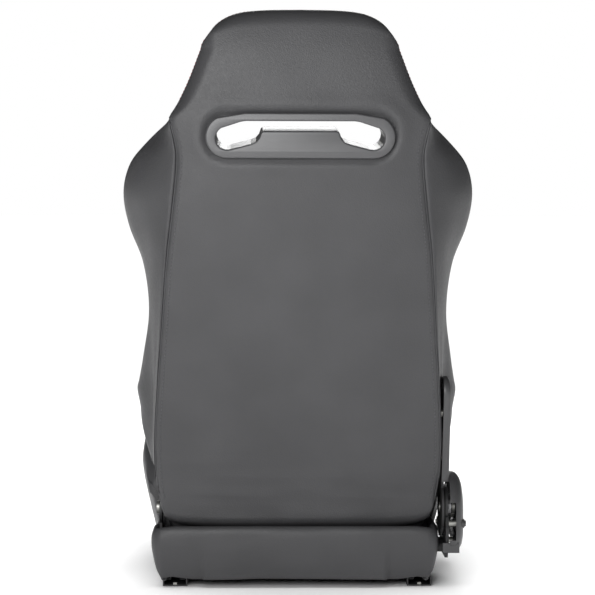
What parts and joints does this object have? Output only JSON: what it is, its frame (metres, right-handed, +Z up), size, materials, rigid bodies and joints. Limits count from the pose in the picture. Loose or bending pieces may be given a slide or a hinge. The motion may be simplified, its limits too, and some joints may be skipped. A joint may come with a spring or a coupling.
{
  "type": "reclining racing seat",
  "caption": "Reclining sport bucket seat with side wings, a harness slot under the head, a side recliner and slide rails.",
  "frame": {"origin": "centre of the four floor bolt holes, on the floor plane under the rails", "axes": "+X to the occupant's right, +Y the way the occupant faces, +Z up"},
  "size_m": [0.5672, 0.6832, 0.93],
  "materials": {
    "rail_steel": "black e-coat, satin",
    "zinc": "zinc plated",
    "cage_plastic": "natural nylon",
    "frame_paint": "black powder coat",
    "spring_steel": "bright drawn wire",
    "pvc_leather": "fine grain PVC leather, satin",
    "cover_plastic": "fine moulded texture",
    "black_screw": "black oxide",
    "grip_rubber": "matt",
    "bezel_plastic": "satin moulded"
  },
  "bodies": {
    "floor_rails": {"lower_rail_left": "rail_steel", "lower_rail_right": "rail_steel", "rail_stops": "zinc"},
    "roller_cages": {"roller_cages": "cage_plastic", "rail_balls": "zinc"},
    "seat_base": {"upper_rail_left": "rail_steel", "upper_rail_right": "rail_steel", "base_side_left": "frame_paint", "base_side_right": "frame_paint", "base_front_tube": "frame_paint", "base_rear_tube": "frame_paint", "seat_springs": "spring_steel", "rail_bolts": "zinc", "latch_pins": "zinc", "seat_pad": "pvc_leather", "seat_bolster_left": "pvc_leather", "seat_bolster_right": "pvc_leather", "seat_front_roll": "pvc_leather", "seat_rear_roll": "pvc_leather", "hinge_bracket_left": "frame_paint", "hinge_bolt_left": "zinc", "recliner_plate_right": "frame_paint", "recliner_pin_right": "zinc", "recliner_spring": "spring_steel", "recliner_bolts": "zinc", "recliner_pod": "cover_plastic", "pod_standoffs": "zinc", "pod_screws": "black_screw", "pawl_pin": "zinc"},
    "backrest": {"back_upright_left": "frame_paint", "back_upright_right": "frame_paint", "head_hoop": "frame_paint", "back_cross_lower": "frame_paint", "back_cross_upper": "frame_paint", "back_springs": "spring_steel", "wing_wire_left": "spring_steel", "wing_wire_right": "spring_steel", "hinge_arm_left": "frame_paint", "recliner_arm_right": "frame_paint", "arm_bolts": "zinc", "arm_cover_right": "cover_plastic", "rear_cover": "pvc_leather", "back_pad": "pvc_leather", "back_base_roll": "pvc_leather", "back_bolster_left": "pvc_leather", "back_bolster_right": "pvc_leather", "head_pad": "pvc_leather", "harness_bezel_rear": "bezel_plastic", "harness_bezel_front": "bezel_plastic", "harness_sleeve": "bezel_plastic"},
    "recliner_lever": {"lever_shaft": "zinc", "lever_arm": "frame_paint", "lever_grip": "cover_plastic"},
    "lock_pawl": {"lock_pawl": "spring_steel"},
    "slide_handle": {"slide_bar": "frame_paint", "slide_bar_grip": "grip_rubber", "latch_plates": "zinc"}
  },
  "joints": [
    {"name": "seat_slide", "type": "slide", "parent": "floor_rails", "child": "seat_base", "axis": [0, 1, 0], "range_m": [-0.1, 0.1]},
    {"name": "cage_slide", "type": "slide", "parent": "floor_rails", "child": "roller_cages", "axis": [0, 1, 0], "range_m": [-0.05, 0.05]},
    {"name": "recline", "type": "hinge", "parent": "seat_base", "child": "backrest", "pos_m": [0, -0.2, 0.125], "axis": [1, 0, 0], "range_deg": [-20, 45]},
    {"name": "lever_lift", "type": "hinge", "parent": "seat_base", "child": "recliner_lever", "pos_m": [0.25, -0.15, 0.062], "axis": [1, 0, 0], "range_deg": [0, 18], "stiffness_Nm_per_rad": 2, "springref_deg": -17.19},
    {"name": "pawl_swing", "type": "hinge", "parent": "seat_base", "child": "lock_pawl", "pos_m": [0.238, -0.1465, 0.0925], "axis": [1, 0, 0], "range_deg": [0, 7.5]},
    {"name": "handle_lift", "type": "hinge", "parent": "seat_base", "child": "slide_handle", "pos_m": [0, 0.06, 0.034], "axis": [1, 0, 0], "range_deg": [0, 8], "stiffness_Nm_per_rad": 4, "springref_deg": -22.92}
  ],
  "couplings": [
    {"joint": "cage_slide", "follows": "seat_slide", "ratio": 0.5},
    {"joint": "pawl_swing", "follows": "lever_lift", "ratio": 0.4}
  ]
}
